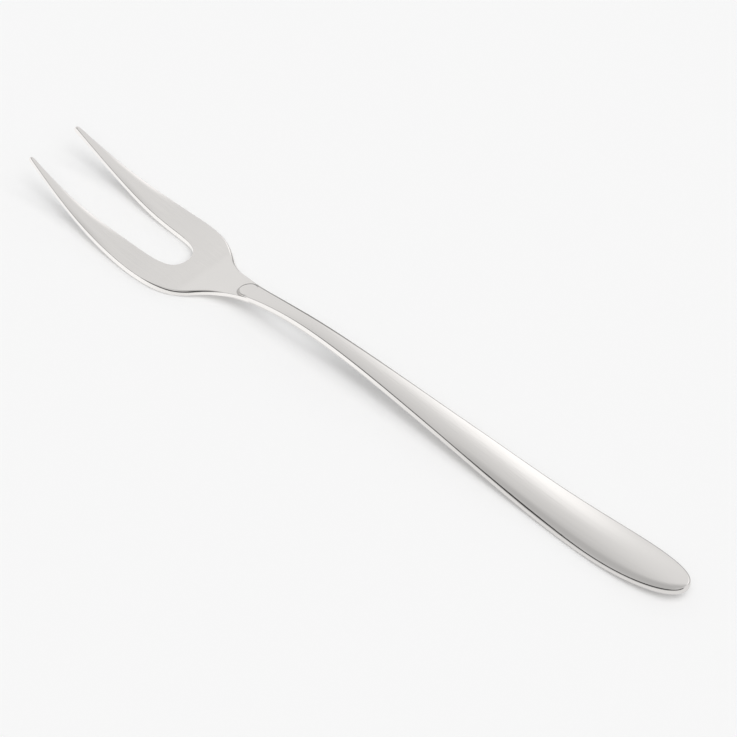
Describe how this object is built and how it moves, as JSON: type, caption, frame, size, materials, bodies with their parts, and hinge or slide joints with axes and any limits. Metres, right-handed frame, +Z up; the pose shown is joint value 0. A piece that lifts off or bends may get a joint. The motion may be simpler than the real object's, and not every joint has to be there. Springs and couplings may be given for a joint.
{
  "type": "serving fork",
  "caption": "Long serving fork with slender upturned tines, a waisted neck with a raised tongue, and an arched handle that widens to a rounded end.",
  "frame": {"origin": "middle of the fork's length, on the surface that it rests on", "axes": "+X along the fork from the tines to the handle's end, +Y across it, +Z up, away from the surface it lies on"},
  "size_m": [0.24, 0.0288, 0.0138],
  "materials": {
    "polished_steel": "polished"
  },
  "bodies": {
    "root": {"serving_fork": "polished_steel"}
  },
  "joints": []
}
